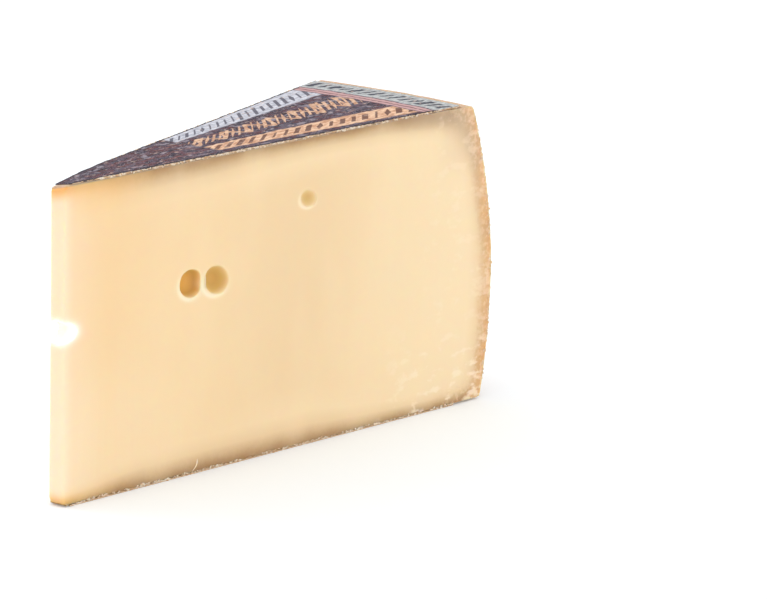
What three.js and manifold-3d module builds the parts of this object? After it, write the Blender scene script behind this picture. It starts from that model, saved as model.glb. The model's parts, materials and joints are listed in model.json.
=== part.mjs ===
// A wedge of hard mountain cheese cut from a round: one piece of paste inside its own
// natural rind, with a paper label on the upper rind and another under the base.
//
// Millimetres, +Z up. +X runs from the blunt tip to the rind and +Y across the wedge.
// The origin is the middle of the wedge's bounding box, on the surface it stands on.

import * as THREE from 'three';
import { mergeVertices } from 'three/addons/utils/BufferGeometryUtils.js';
import Module from 'manifold-3d';

const wasm = await Module();
wasm.setup();

const DEGREE = Math.PI / 180;

// The whole wheel, whose side has sagged a little while it ripened.
const WHEEL_HEIGHT = 79;
const UPPER_RIM_RADIUS = 154;
const BELLY_RADIUS = 163;
const BELLY_HEIGHT = 32;
const FOOT_RADIUS = 160;
const RIM_ROUNDING = 1.6;

// The wedge: two straight cuts towards the wheel's centre, and a blunt tip between them.
const WEDGE_ANGLE = 17.7 * DEGREE;
const TIP_FROM_CENTRE = 14.3;
const TIP_EDGE_ROUNDING = 0.8;

// The paper labels, trimmed by the same two cuts as the cheese.
const LABEL_THICKNESS = 0.3;
const LABEL_RADIUS = 150;
const LABEL_FROM_TIP = 2.6;

// The gas holes, or eyes. Each is a bubble: how far out from the wheel's centre its mouth
// lies along its cut face, how high, the bubble's radius and how deep its centre sits.
const NEAR = -1;
const FAR = 1;
const EYES = [
  { side: NEAR, out: 55.2, height: 48.1, radius: 3.9, depth: 1.2 },
  { side: NEAR, out: 64.3, height: 47.6, radius: 4.2, depth: 1.0 },
  { side: NEAR, out: 95.2, height: 63.3, radius: 3.2, depth: -1.5 },
  { side: FAR, out: 78, height: 27, radius: 3.7, depth: 0.8 },
  { side: FAR, out: 112, height: 56, radius: 4.5, depth: -1.2 },
  { side: FAR, out: 121, height: 30, radius: 2.6, depth: 0.4 },
];

// One more bubble opens through the thin tip, from one cut face to the other. It is centred
// on the tip's own face and is longest along the wedge.
const TIP_EYE = { height: 42.9, reach: 5, breadth: 4.4, rise: 2.7 };

// How finely round shapes are faceted.
const WHEEL_SEGMENTS = 240;
const SIDE_STEPS = 14;
const CORNER_STEPS = 4;
const EYE_SEGMENTS = 28;

const HALF_ANGLE = WEDGE_ANGLE / 2;
const CHEESE_BOTTOM = LABEL_THICKNESS;
const CHEESE_TOP = WHEEL_HEIGHT - LABEL_THICKNESS;

function toSolid(geometry) {
  // Only positions are kept, shared corners are merged, and the flat slivers that a
  // revolved shape has on its axis are dropped.
  const bare = new THREE.BufferGeometry();
  bare.setAttribute('position', geometry.getAttribute('position'));
  bare.setIndex(geometry.getIndex());
  const merged = mergeVertices(bare, 1e-4);
  const index = merged.getIndex().array;
  const kept = [];
  for (let i = 0; i < index.length; i += 3) {
    const [a, b, c] = [index[i], index[i + 1], index[i + 2]];
    if (a !== b && b !== c && c !== a) {
      kept.push(a, b, c);
    }
  }
  const vertProperties = new Float32Array(merged.getAttribute('position').array);
  const triVerts = new Uint32Array(kept);
  return new wasm.Manifold(new wasm.Mesh({ numProp: 3, vertProperties, triVerts }));
}

function toGeometry(solid) {
  const mesh = solid.getMesh();
  const geometry = new THREE.BufferGeometry();
  geometry.setAttribute('position', new THREE.BufferAttribute(mesh.vertProperties, 3));
  geometry.setIndex(new THREE.BufferAttribute(mesh.triVerts, 1));
  geometry.computeVertexNormals();
  return geometry;
}

function sideRadius(height) {
  // Two parabolas meet at the belly: one draws in to the upper rim, the other to the foot.
  const above = height > BELLY_HEIGHT;
  const span = above ? WHEEL_HEIGHT - BELLY_HEIGHT : BELLY_HEIGHT;
  const drop = BELLY_RADIUS - (above ? UPPER_RIM_RADIUS : FOOT_RADIUS);
  return BELLY_RADIUS - drop * ((height - BELLY_HEIGHT) / span) ** 2;
}

function wheelSolid() {
  const profile = new THREE.Path();
  const low = CHEESE_BOTTOM + RIM_ROUNDING;
  const high = CHEESE_TOP - RIM_ROUNDING;
  profile.moveTo(0, CHEESE_BOTTOM);
  profile.lineTo(sideRadius(CHEESE_BOTTOM) - RIM_ROUNDING, CHEESE_BOTTOM);
  profile.quadraticCurveTo(sideRadius(CHEESE_BOTTOM), CHEESE_BOTTOM, sideRadius(low), low);
  for (let i = 1; i <= SIDE_STEPS; i += 1) {
    const height = THREE.MathUtils.lerp(low, high, i / SIDE_STEPS);
    profile.lineTo(sideRadius(height), height);
  }
  const flatRadius = sideRadius(CHEESE_TOP) - RIM_ROUNDING;
  profile.quadraticCurveTo(sideRadius(CHEESE_TOP), CHEESE_TOP, flatRadius, CHEESE_TOP);
  profile.lineTo(0, CHEESE_TOP);
  const wheel = new THREE.LatheGeometry(profile.getPoints(CORNER_STEPS), WHEEL_SEGMENTS);
  wheel.rotateX(Math.PI / 2);
  return toSolid(wheel);
}

function halfWidthAt(out) {
  // Half of the wedge's width at a distance out along its middle line.
  return out * Math.tan(HALF_ANGLE);
}

function cutSolid() {
  // The space between the two cuts, from the blunt tip to well past the rind.
  const tip = TIP_FROM_CENTRE;
  const behindTip = tip + TIP_EDGE_ROUNDING;
  const reach = BELLY_RADIUS + 20;
  const width = halfWidthAt(tip);
  const plan = new THREE.Shape();
  plan.moveTo(tip, width - TIP_EDGE_ROUNDING);
  plan.lineTo(tip, TIP_EDGE_ROUNDING - width);
  plan.quadraticCurveTo(tip, -width, behindTip, -halfWidthAt(behindTip));
  plan.lineTo(reach, -halfWidthAt(reach));
  plan.lineTo(reach, halfWidthAt(reach));
  plan.lineTo(behindTip, halfWidthAt(behindTip));
  plan.quadraticCurveTo(tip, width, tip, width - TIP_EDGE_ROUNDING);
  const options = { depth: WHEEL_HEIGHT, bevelEnabled: false, curveSegments: CORNER_STEPS };
  return toSolid(new THREE.ExtrudeGeometry(plan, options));
}

function roundHole(radius) {
  return new THREE.SphereGeometry(radius, EYE_SEGMENTS, EYE_SEGMENTS / 2);
}

function eyeSolid({ side, out, height, radius, depth }) {
  // The centre starts on the cut face and moves depth inwards, square to that face.
  const angle = side * HALF_ANGLE;
  const x = out * Math.cos(angle) + side * depth * Math.sin(angle);
  const y = out * Math.sin(angle) - side * depth * Math.cos(angle);
  return toSolid(roundHole(radius).translate(x, y, height));
}

function tipEyeSolid() {
  const { height, reach, breadth, rise } = TIP_EYE;
  return toSolid(roundHole(1).scale(reach, breadth, rise).translate(TIP_FROM_CENTRE, 0, height));
}

function cheeseGeometry() {
  let cheese = wheelSolid().intersect(cutSolid());
  for (const eye of EYES) {
    cheese = cheese.subtract(eyeSolid(eye));
  }
  return toGeometry(cheese.subtract(tipEyeSolid()));
}

function labelGeometry(bottom) {
  // A sector of thin paper whose straight sides lie in the two cuts.
  const start = TIP_FROM_CENTRE + LABEL_FROM_TIP;
  const plan = new THREE.Shape();
  plan.moveTo(start, halfWidthAt(start));
  plan.lineTo(start, -halfWidthAt(start));
  plan.absarc(0, 0, LABEL_RADIUS, -HALF_ANGLE, HALF_ANGLE, false);
  plan.closePath();
  const options = { depth: LABEL_THICKNESS, bevelEnabled: false, curveSegments: SIDE_STEPS };
  const label = new THREE.ExtrudeGeometry(plan, options);
  label.translate(0, 0, bottom);
  return label;
}

function part(name, geometry, color, roughness) {
  const material = new THREE.MeshStandardMaterial({ color, roughness, metalness: 0 });
  const mesh = new THREE.Mesh(geometry, material);
  mesh.name = name;
  return mesh;
}

// The wheel's centre moves to where the wedge's bounding box is centred on the origin.
const cheese = cheeseGeometry();
cheese.computeBoundingBox();
const middle = (cheese.boundingBox.min.x + cheese.boundingBox.max.x) / 2;
const topLabel = labelGeometry(CHEESE_TOP);
const bottomLabel = labelGeometry(0);
for (const geometry of [cheese, topLabel, bottomLabel]) {
  geometry.translate(-middle, 0, 0);
}

const wedge = new THREE.Group();
wedge.add(part('cheese_wedge', cheese, 0xf6dcae, 0.5));
wedge.add(part('top_label', topLabel, 0x4f4a55, 0.65));
wedge.add(part('bottom_label', bottomLabel, 0x4f4a55, 0.65));

export default wedge;
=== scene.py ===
# %% [markdown]
# # A wedge of hard cheese
#
# This lesson builds a wedge cut from a round of mountain cheese: pale paste with a few gas
# holes, the tan rind it grew while it ripened, and the thin printed papers stuck to its two
# flat faces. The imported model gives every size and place. Each piece here is a surface
# worked out with numpy and put where that model says, so nothing has to be fitted by eye.

# %% Load the frame
import json
import math

import bpy
import numpy as np
from mathutils import Matrix, Vector

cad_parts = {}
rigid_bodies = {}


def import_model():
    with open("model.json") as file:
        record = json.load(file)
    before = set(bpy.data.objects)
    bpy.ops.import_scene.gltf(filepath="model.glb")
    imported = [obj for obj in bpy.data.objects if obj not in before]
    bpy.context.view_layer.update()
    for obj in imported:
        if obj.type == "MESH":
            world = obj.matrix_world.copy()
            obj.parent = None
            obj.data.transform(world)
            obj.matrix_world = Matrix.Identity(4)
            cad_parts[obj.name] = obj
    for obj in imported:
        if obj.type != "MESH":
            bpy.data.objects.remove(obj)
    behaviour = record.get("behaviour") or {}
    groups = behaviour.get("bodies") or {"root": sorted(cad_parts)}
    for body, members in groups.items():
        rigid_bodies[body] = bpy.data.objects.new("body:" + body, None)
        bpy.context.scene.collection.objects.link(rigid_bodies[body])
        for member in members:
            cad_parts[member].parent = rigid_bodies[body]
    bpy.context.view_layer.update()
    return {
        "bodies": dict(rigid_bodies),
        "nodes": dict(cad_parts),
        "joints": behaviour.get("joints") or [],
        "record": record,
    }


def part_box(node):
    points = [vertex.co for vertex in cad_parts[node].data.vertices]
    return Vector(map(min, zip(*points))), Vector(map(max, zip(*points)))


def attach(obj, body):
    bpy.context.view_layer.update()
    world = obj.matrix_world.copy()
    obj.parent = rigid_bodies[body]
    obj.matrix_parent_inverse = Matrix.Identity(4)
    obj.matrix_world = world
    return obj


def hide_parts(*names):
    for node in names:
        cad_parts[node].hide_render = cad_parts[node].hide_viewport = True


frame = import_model()

# %% [markdown]
# ## Sizes
#
# A wheel of cheese is measured from its own axis, so the sums below use distances out from
# that axis, angles about it, and heights. Lengths are in millimetres, the maker's unit, and
# become metres only when a mesh is made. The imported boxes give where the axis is, how wide
# the wedge opens and how thick the papers are.

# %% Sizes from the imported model
MM = 0.001
cheese_low, cheese_high = (np.array(corner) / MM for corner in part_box("cheese_wedge"))
label_low, label_high = (np.array(corner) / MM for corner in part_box("top_label"))

TIP_RADIUS = 14.3  # from the wheel's axis to the blunt tip
AXIS_X = cheese_low[0] - TIP_RADIUS
BELLY_RADIUS = cheese_high[0] - AXIS_X
LENGTH = BELLY_RADIUS - TIP_RADIUS
HALF_ANGLE = math.asin(cheese_high[1] / BELLY_RADIUS)
SLOPE = math.tan(HALF_ANGLE)  # how fast a cut face leaves the middle line
BASE, TOP = cheese_low[2], cheese_high[2]
RISE = TOP - BASE

UPPER_RIM_RADIUS = 154.0
FOOT_RADIUS = 160.0
BELLY_HEIGHT = 32.0
print(f"wedge {LENGTH:.1f} mm long, {math.degrees(2 * HALF_ANGLE):.1f} degrees, {RISE:.1f} mm high")

# %% [markdown]
# ## The wheel's side
#
# The side of a ripened wheel isn't upright. It sags into a belly a little below the middle,
# and draws in towards the upper rim. Two parabolas that meet at the belly say that with four
# numbers, which is easier to change than a drawn outline.


# %% The radius of the wheel at a height
def side_radius(height):
    """Belly radius less a share of the drop to the rim, or to the foot, that grows with the
    square of the distance from the belly."""
    above = height > BELLY_HEIGHT
    span = np.where(above, TOP + BASE - BELLY_HEIGHT, BELLY_HEIGHT)
    drop = BELLY_RADIUS - np.where(above, UPPER_RIM_RADIUS, FOOT_RADIUS)
    return BELLY_RADIUS - drop * ((height - BELLY_HEIGHT) / span) ** 2


print("radius at the foot, belly and rim:", side_radius(np.array([BASE, BELLY_HEIGHT, TOP])))


# %% [markdown]
# ## From a block to a wedge
#
# The outside of a wedge is a warped block with six sides. A block is easy to cover with
# grids, and its grids meet edge to edge, so the wedge is made as a block and then warped:
# its two long sides swing onto the cuts and its back end bends onto the wheel's side. Real
# cheese has no knife-sharp corners, so before the warp each corner is rounded by its own
# radius. The rounding takes the square between two faces onto a quarter disc, which keeps
# points apart where a plain clamp would pile them up.


# %% Round a corner of the block
def soften(first, second, radius):
    """Both distances from the faces that make the corner. Inside the corner's square the
    point slides towards the centre of the rounding, from the square onto the disc."""
    p, q = np.clip(radius - first, 0, None), np.clip(radius - second, 0, None)
    reach = np.hypot(p, q)
    scale = np.where(reach > 0, np.maximum(p, q) / np.where(reach > 0, reach, 1), 1.0)
    return first + p * (1 - scale), second + q * (1 - scale)


print("a sharp corner moves in by", soften(0.0, 0.0, 1.0), "at a rounding of 1")

# %% [markdown]
# One gas hole was cut open by the tip itself. It isn't drilled here: the tip's own face is
# pushed back until it lies on the far wall of an egg-shaped bubble, and the points behind
# it crowd up to make room.

# %% The bubble in the tip
TIP_EYE_HEIGHT = 42.9
TIP_EYE_REACH, TIP_EYE_BREADTH, TIP_EYE_RISE = 5.0, 4.4, 2.7
TIP_EYE_FADE = 14.0


def tip_push(slope, height):
    """How far a ray from the axis, leaving at that slope, runs inside the bubble: the outer
    root of the ellipsoid's equation along the ray, less the tip's own distance."""
    a = 1 / TIP_EYE_REACH**2 + (slope / TIP_EYE_BREADTH) ** 2
    b = -2 * TIP_RADIUS / TIP_EYE_REACH**2
    c = (TIP_RADIUS / TIP_EYE_REACH) ** 2 + ((height - TIP_EYE_HEIGHT) / TIP_EYE_RISE) ** 2 - 1
    root = b * b - 4 * a * c
    out = (-b + np.sqrt(np.clip(root, 0, None))) / (2 * a)
    return np.where(root > 0, np.clip(out - TIP_RADIUS, 0, None), 0.0)


print("the bubble's wall is", tip_push(0.0, TIP_EYE_HEIGHT), "mm behind the tip's face")

# %% [markdown]
# The thin tip has no strength of its own, so its upper side has sunk a little, most where
# the knife pulled through last, on the far cut. The paper on top goes down with it.

# %% How far the tip has sunk
TIP_SAG, SAG_REACH, SAG_DEPTH = 1.1, 26.0, 30.0
FOOT_SPREAD, FOOT_HEIGHT = 0.95, 8


def top_sag(out, side):
    """The sag at the far cut's tip, less with the square of the distance along the wedge and
    in a straight line towards the near cut."""
    along = np.clip(1 - (out - TIP_RADIUS) / SAG_REACH, 0, 1)
    return TIP_SAG * along**2 * np.clip((side + 1) / 2, 0, 1)


def foot_sag(out, height):
    """The soft foot of the tip, ahead of the paper, spreads down onto the surface."""
    along = np.clip(1 - (out - TIP_RADIUS) / (label_low[0] - cheese_low[0]), 0, 1)
    low_down = np.clip(1 - (height - BASE) / FOOT_HEIGHT, 0, 1)
    return FOOT_SPREAD * BASE * np.minimum(1, 2 * along) * low_down


print("sag at the tip and 10 mm behind it:", top_sag(np.array([TIP_RADIUS, TIP_RADIUS + 10]), 1))

# %% The warped block
RIM_ROUNDING = 1.6
TIP_SIDE_ROUNDING = 0.9
TIP_FOOT_ROUNDING = 2.4
TIP_TOP_ROUNDING = 1.2
CUT_EDGE_ROUNDING = 0.35
RIND_EDGE_ROUNDING = 0.5


def wedge_point(along, side, up):
    """along runs 0 to 1 from tip to rind, side -1 to 1 between the cuts, up 0 to 1. The
    block's corners are rounded, then each point lies on a ray from the axis, between the
    tip's plane and the wheel's side at its height."""
    along, side, up = np.broadcast_arrays(along, side, up)
    out, height = along * LENGTH, up * RISE
    inset = (1 - np.abs(side)) * (TIP_RADIUS + out) * SLOPE
    out, inset = soften(out, inset, TIP_SIDE_ROUNDING)
    rear, roof = soften(LENGTH - out, RISE - height, RIM_ROUNDING)
    rear, height = soften(rear, RISE - roof, RIM_ROUNDING)
    out, height = soften(LENGTH - rear, height, TIP_FOOT_ROUNDING)
    out, roof = soften(out, RISE - height, TIP_TOP_ROUNDING)
    inset, roof = soften(inset, roof, CUT_EDGE_ROUNDING)
    inset, height = soften(inset, RISE - roof, CUT_EDGE_ROUNDING)
    rear, inset = soften(LENGTH - out, inset, RIND_EDGE_ROUNDING)
    out = LENGTH - rear
    half = (TIP_RADIUS + out) * SLOPE
    slope = np.sign(side) * (half - inset) / (TIP_RADIUS + out)
    z = BASE + height
    rim_x = side_radius(z) / np.sqrt(1 + slope**2)
    x = TIP_RADIUS + out / LENGTH * (rim_x - TIP_RADIUS)
    x = x + tip_push(slope, z) * np.clip(1 - out / TIP_EYE_FADE, 0, 1) ** 2
    z = z - top_sag(x, slope / SLOPE) * np.clip(1 - (TOP - z) / SAG_DEPTH, 0, 1)
    z = z - foot_sag(x, z)
    return np.stack([x, x * slope, z], -1)


print("upper corner of the near cut at the tip:", wedge_point(0.0, -1.0, 1.0))

# %% [markdown]
# ## Grid lines
#
# The grids need to be fine where the shape turns quickly, at the corners and round the
# bubble in the tip, and may be coarse in the flat middle.


# %% Where the grid lines run
def graded(length, step, fine_step, fine_zone):
    """Points from 0 to 1 whose spacing grows from fine_step at both ends to step inside. The
    count of lines up to a place is the sum of one over the spacing wanted on the way."""
    place = np.linspace(0, length, 2001)
    edge = np.minimum(place, length - place)
    spacing = np.interp(edge, [0, fine_zone, 2 * fine_zone], [fine_step, fine_step, step])
    lines = np.concatenate([[0], np.cumsum(np.diff(place) / spacing[1:])])
    wanted = np.linspace(0, lines[-1], math.ceil(lines[-1]) + 1)
    return np.interp(wanted, lines, place) / length


bubble_low = (TIP_EYE_HEIGHT - BASE - TIP_EYE_RISE) / RISE
bubble_high = (TIP_EYE_HEIGHT - BASE + TIP_EYE_RISE) / RISE
even = graded(RISE, 0.66, 0.3, 1.6)
rows_in_bubble = np.sin(np.linspace(-np.pi / 2, np.pi / 2, 23))[1:-1]
bubble_rows = (bubble_low + bubble_high) / 2 + rows_in_bubble * (bubble_high - bubble_low) / 2
UP = np.sort(np.concatenate([even[(even < bubble_low) | (even > bubble_high)], bubble_rows]))
ALONG = graded(LENGTH, 1.0, 0.3, 2.4)
across = np.linspace(-1, 1, 77)
SIDE = 0.55 * across + 0.45 * np.sin(across * np.pi / 2)
print(f"{len(ALONG)} lines along, {len(UP)} up and {len(SIDE)} across")


# %% [markdown]
# ## Patches
#
# A patch is a grid of points and the quads between them. Each of the wedge's six sides is
# one patch. A second number is kept with every point: how deep it lies inside a gas hole.


# %% Patch helpers
def grid_quads(rows, columns, keep=None):
    """The four corners of every cell of a grid, counted row by row."""
    corner = np.arange(rows * columns).reshape(rows, columns)
    quads = np.stack([corner[:-1, :-1], corner[1:, :-1], corner[1:, 1:], corner[:-1, 1:]], -1)
    return quads.reshape(-1, 4) if keep is None else quads[keep]


def patch(points, quads, hollow=None, flip=False):
    points = points.reshape(-1, 3)
    hollow = np.zeros(len(points)) if hollow is None else hollow.reshape(-1)
    return points, quads[:, ::-1] if flip else quads, hollow


def joined(patches):
    """All patches as one list, with points that share a place made one."""
    starts = np.cumsum([0] + [len(p) for p, _, _ in patches])
    points = np.concatenate([p for p, _, _ in patches])
    quads = np.concatenate([q + start for (_, q, _), start in zip(patches, starts)])
    hollow = np.concatenate([h for _, _, h in patches])
    _, first, index = np.unique(
        np.round(points, 4), axis=0, return_index=True, return_inverse=True
    )
    return points[first], index.reshape(-1)[quads], hollow[first]


# %% [markdown]
# ## Gas holes
#
# An eye is a bubble of gas that the knife cut open. Round it the face's square grid is left
# out and a web of rings takes its place: the outer ring is the gap's own edge, the rings
# close in on the mouth, turn over a soft lip, and run down the bubble's wall to its bottom.

# %% The eyes
# out and height place the mouth on its cut face, wide and tall are its half sizes, deep is
# the bubble's depth, lean turns the mouth, and straight is where its outward side is cut
# off straight, as a share of its half width.
EYES = {
    -1: [
        dict(out=55.9, height=48.2, wide=3.95, tall=3.55, deep=3.4, lean=-0.22, straight=0.84),
        dict(out=64.4, height=47.7, wide=4.29, tall=3.59, deep=2.3, lean=-0.55, straight=1.5),
        dict(out=95.4, height=63.3, wide=2.94, tall=2.24, deep=0.9, lean=-0.37, straight=1.5),
    ],
    1: [
        dict(out=78.0, height=27.0, wide=3.6, tall=3.4, deep=3.2, lean=0.3, straight=1.5),
        dict(out=112.0, height=56.0, wide=4.3, tall=3.9, deep=2.2, lean=-0.2, straight=1.5),
        dict(out=121.0, height=30.0, wide=2.6, tall=2.3, deep=2.2, lean=0.0, straight=1.5),
    ],
}
EYE_MARGIN = 2.0
DEEPEST_EYE = max(eye["deep"] for side in EYES for eye in EYES[side])
WEB_RINGS, WALL_RINGS = 8, 14
print(sum(len(eyes) for eyes in EYES.values()), "eyes, the deepest", DEEPEST_EYE, "mm")


# %% The mouth of an eye and the square round it
def eye_block(eye, outs, heights, limits):
    """The first and last grid lines of the square that the eye's web fills."""
    low_out = max(eye["out"] - eye["wide"] - EYE_MARGIN, limits[0])
    high_out = min(eye["out"] + eye["wide"] + EYE_MARGIN, limits[1])
    half_height = eye["tall"] + EYE_MARGIN
    i = np.searchsorted(outs, [low_out, high_out])
    j = np.searchsorted(heights, [eye["height"] - half_height, eye["height"] + half_height])
    return i[0], i[1], j[0], j[1]


def eye_mouth(eye, angle):
    """An ellipse turned by lean. Beyond straight it is cut off upright, over a short bend: a
    smooth minimum of the ellipse and the cut."""
    turned = angle - eye["lean"]
    x, y = np.cos(turned) * eye["wide"], np.sin(turned) * eye["tall"]
    cos, sin = math.cos(eye["lean"]), math.sin(eye["lean"])
    sideways, upwards = x * cos - y * sin, x * sin + y * cos
    limit, bend = eye["straight"] * eye["wide"], 0.12 * eye["wide"]
    over = (limit - sideways) / bend
    sideways = limit - bend * np.logaddexp(0, over) + bend * np.log1p(np.exp(-limit / bend))
    return np.stack([sideways, upwards], -1)


# %% The wall of an eye
def eye_profile(eye):
    """Ring by ring: how far the web has closed on the mouth, how wide the wall is, and how
    deep it is. The wall is a sphere's section and the lip is rounded by averaging."""
    mean = (eye["wide"] + eye["tall"]) / 2
    deep = eye["deep"]
    ball = (mean**2 + deep**2) / (2 * deep)
    start = math.atan2(mean, ball - deep)
    swing = np.linspace(start, 0, WALL_RINGS)
    wall_width, wall_depth = ball * np.sin(swing) / mean, ball * np.cos(swing) + deep - ball
    close = 1 - (1 - np.linspace(0, 1, WEB_RINGS + 1)) ** 1.6
    close = np.concatenate([close, np.ones(WALL_RINGS - 1)])
    width = np.concatenate([np.ones(WEB_RINGS + 1), wall_width[1:]])
    depth = np.concatenate([np.zeros(WEB_RINGS + 1), wall_depth[1:]])
    for _ in range(2):
        middle = slice(WEB_RINGS - 2, WEB_RINGS + 4)
        for values in (width, depth):
            smoothed = (np.roll(values, 1) + 2 * values + np.roll(values, -1)) / 4
            values[middle] = smoothed[middle]
    width[-1] = 0
    return close, width, depth


def eye_patch(eye, side, points, block):
    """The rings of one eye, from the square's edge to the bottom of the bubble."""
    i0, i1, j0, j1 = block
    edge = np.concatenate(
        [points[i0:i1, j0], points[i1, j0:j1], points[i1:i0:-1, j1], points[i0, j1:j0:-1]]
    )
    along = np.array([math.cos(HALF_ANGLE), side * math.sin(HALF_ANGLE), 0])
    inward = np.array([math.sin(HALF_ANGLE), -side * math.cos(HALF_ANGLE), 0])
    centre = along * eye["out"] + np.array([0, 0, eye["height"]])
    flat = np.stack([(edge - centre) @ along, edge[:, 2] - eye["height"]], -1)
    mouth = eye_mouth(eye, np.arctan2(flat[:, 1], flat[:, 0]))
    close, width, depth = (v[:, None, None] for v in eye_profile(eye))
    plane = flat[None] * (1 - close) + mouth[None] * width * close
    rings = centre + plane[..., :1] * along + plane[..., 1:] * [0, 0, 1.0] + depth * inward
    rings = np.concatenate([rings, rings[:, :1]], 1)
    quads = grid_quads(*rings.shape[:2])
    hollow = np.broadcast_to(depth[..., 0] / DEEPEST_EYE, rings.shape[:2])
    return patch(rings, quads, hollow, flip=side < 0)


# %% [markdown]
# A cut face is flat, so most of it is one grid. Where an eye sits, the grid's cells are
# left out for the web. Two eyes that nearly touch share the paste between them, so each
# web stops half way to its neighbour. A boolean cut would be shorter to write, but it
# leaves long thin faces that shade badly, and no number says how deep in the hole a point
# lies.


# %% The two cut faces
def cut_face(side):
    """A grid along and up one cut, with a web of rings in place of the cells at each eye."""
    points = wedge_point(ALONG[:, None], float(side), UP[None, :])
    outs = np.hypot(points[:, len(UP) // 2, 0], points[:, len(UP) // 2, 1])
    heights = points[len(ALONG) // 2, :, 2]
    keep = np.ones((len(ALONG) - 1, len(UP) - 1), bool)
    patches = []
    eyes = EYES[side]
    for number, eye in enumerate(eyes):
        limits = [0.0, 1e9]
        for other in eyes[:number] + eyes[number + 1 :]:
            if abs(other["height"] - eye["height"]) < 10:
                gap = eye["out"] - other["out"]
                border = other["out"] + math.copysign(other["wide"], gap)
                border = (border + eye["out"] - math.copysign(eye["wide"], gap)) / 2
                limits[0 if gap > 0 else 1] = border
        block = eye_block(eye, outs, heights, limits)
        keep[block[0] : block[1], block[2] : block[3]] = False
        patches.append(eye_patch(eye, side, points, block))
    patches.append(patch(points, grid_quads(len(ALONG), len(UP), keep), flip=side > 0))
    return patches


def end_face(along):
    """The blunt tip, or the rind at the back, as a grid across and up."""
    points = wedge_point(float(along), SIDE[:, None], UP[None, :])
    return patch(points, grid_quads(len(SIDE), len(UP)), flip=along == 0)


def flat_face(up):
    """The upper or lower rind as a grid along and across."""
    points = wedge_point(ALONG[:, None], SIDE[None, :], float(up))
    return patch(points, grid_quads(len(ALONG), len(SIDE)), flip=up == 0)


patches = cut_face(-1) + cut_face(1) + [end_face(0), end_face(1), flat_face(0), flat_face(1)]
cheese_points, cheese_quads, cheese_hollow = joined(patches)
print(f"cheese: {len(cheese_points)} points, {len(cheese_quads)} quads")


# %% [markdown]
# ## Relief
#
# A smooth grid looks like plastic. Cut cheese has a faint drag from the wire, some slow
# waviness, and a rougher, crumbly zone close to the rind. The rind itself is pressed by the
# mould's cloth, rubbed and brushed. Each of these is smooth noise of its own size, added
# along the surface's own direction and faded in where it belongs.


# %% Smooth noise and surface directions
def smooth_noise(points, size, seed):
    """Random numbers from -1 to 1 on the corners of cells of that size, blended inside each
    cell with weights that start and end level. size may differ along x, y and z."""
    lattice = np.random.default_rng(seed).uniform(-1, 1, (48, 48, 48))
    cell = points / np.asarray(size, float) + 1000.3
    low = np.floor(cell).astype(int)
    t = cell - low
    t = t * t * (3 - 2 * t)
    total = np.zeros(points.shape[:-1])
    for corner in np.ndindex(2, 2, 2):
        weight = np.prod(np.where(corner, t, 1 - t), -1)
        place = (low + corner) % 48
        total += weight * lattice[place[..., 0], place[..., 1], place[..., 2]]
    return total


def surface_normals(points, quads):
    """The direction out of the surface at each point: the mean of the crossed diagonals of
    the quads round it."""
    a, b, c, d = (points[quads[:, k]] for k in range(4))
    crossed = np.cross(c - a, d - b)
    total = np.zeros_like(points)
    for k in range(4):
        np.add.at(total, quads[:, k], crossed)
    return total / np.maximum(np.linalg.norm(total, axis=1, keepdims=True), 1e-12)


# %% [markdown]
# Colour and roughness both follow how deep the paste lay under the rind before the round
# was cut. That depth is the distance to the nearest of the three outsides: the upper flat,
# the lower flat and the side.

# %% How deep each point lies under the wheel's outside
radial = np.hypot(cheese_points[:, 0], cheese_points[:, 1])
z = cheese_points[:, 2]
depth_side = side_radius(z) - radial
depth_top = TOP - z - top_sag(radial, cheese_points[:, 1] / (radial * SLOPE))
depth_base = z - BASE
rind_depth = np.minimum(np.minimum(depth_top, depth_base), depth_side)
print(f"deepest point under the rind: {rind_depth.max():.1f} mm")

# %% [markdown]
# Paste ripens from the outside in, so it is darker towards the rind. Each outside face has
# its own ripe zone. The one at the top is thinner beyond half way, and the one at the base
# runs out towards the tip and the rind. A zone is thinner where its depth counts for more.
# Where two zones meet, in a corner, they add up, which a smooth minimum of the depths gives.

# %% How ripe each point is
CORNER_BLEND = 2.8


def bell(value, middle, spread):
    """1 at the middle, falling to 0 on both sides as a bell does."""
    return np.exp(-(((value - middle) / spread) ** 2))


count_top = 1.0 + 0.6 * bell(radial, 104, 34)
count_base = 1.05 + 0.9 * bell(radial, 14, 14) + 0.7 * np.clip((radial - 98) / 36, 0, 1)
zones = [depth_top * count_top, depth_base * count_base, depth_side]
shares = sum(np.exp(-np.clip(zone, 0, 60) / CORNER_BLEND) for zone in zones)
ripe_depth = -CORNER_BLEND * np.log(shares)
print(f"ripe depth from {ripe_depth.min():.1f} to {ripe_depth.max():.1f} mm")

# %% [markdown]
# The edge of an eye is so thin that light gets through it, on the side away from where the
# light falls in, and that light is painted into the colour as a pale crescent. A number
# stored with the points marks that crescent, because a shader doesn't know where the eyes are.

# %% The painted light on the lip of an eye
LIP_PLACE, LIP_WIDTH = 1.13, 0.17  # from the eye's middle, in half widths of its mouth


def lip_light_of(eye, side):
    """A painted highlight: a soft ring just outside the eye's mouth, on its lower side towards
    the tip, where the thin edge of the bubble lets light through."""
    along = cheese_points[:, :2] @ [math.cos(HALF_ANGLE), side * math.sin(HALF_ANGLE)]
    sideways, upwards = (along - eye["out"]) / eye["wide"], (z - eye["height"]) / eye["tall"]
    ring = bell(np.hypot(sideways, upwards), LIP_PLACE, LIP_WIDTH)
    towards = np.clip(0.25 - 0.75 * np.cos(np.arctan2(upwards, sideways) - 0.9), 0, 1)
    return ring * towards * (cheese_points[:, 1] * side > 0)


eye_lip_light = sum(lip_light_of(eye, side) for side in EYES for eye in EYES[side])
print(f"brightest lip: {eye_lip_light.max():.2f}")

# %% [markdown]
# Light comes through the thin wall of the bubble in the tip. Points on that wall were pushed
# outwards, so distance doesn't find them, but the egg's own equation does: it is 1 on the
# egg and more outside it. The near cut gets the whole glow and the far one a little less.

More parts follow.
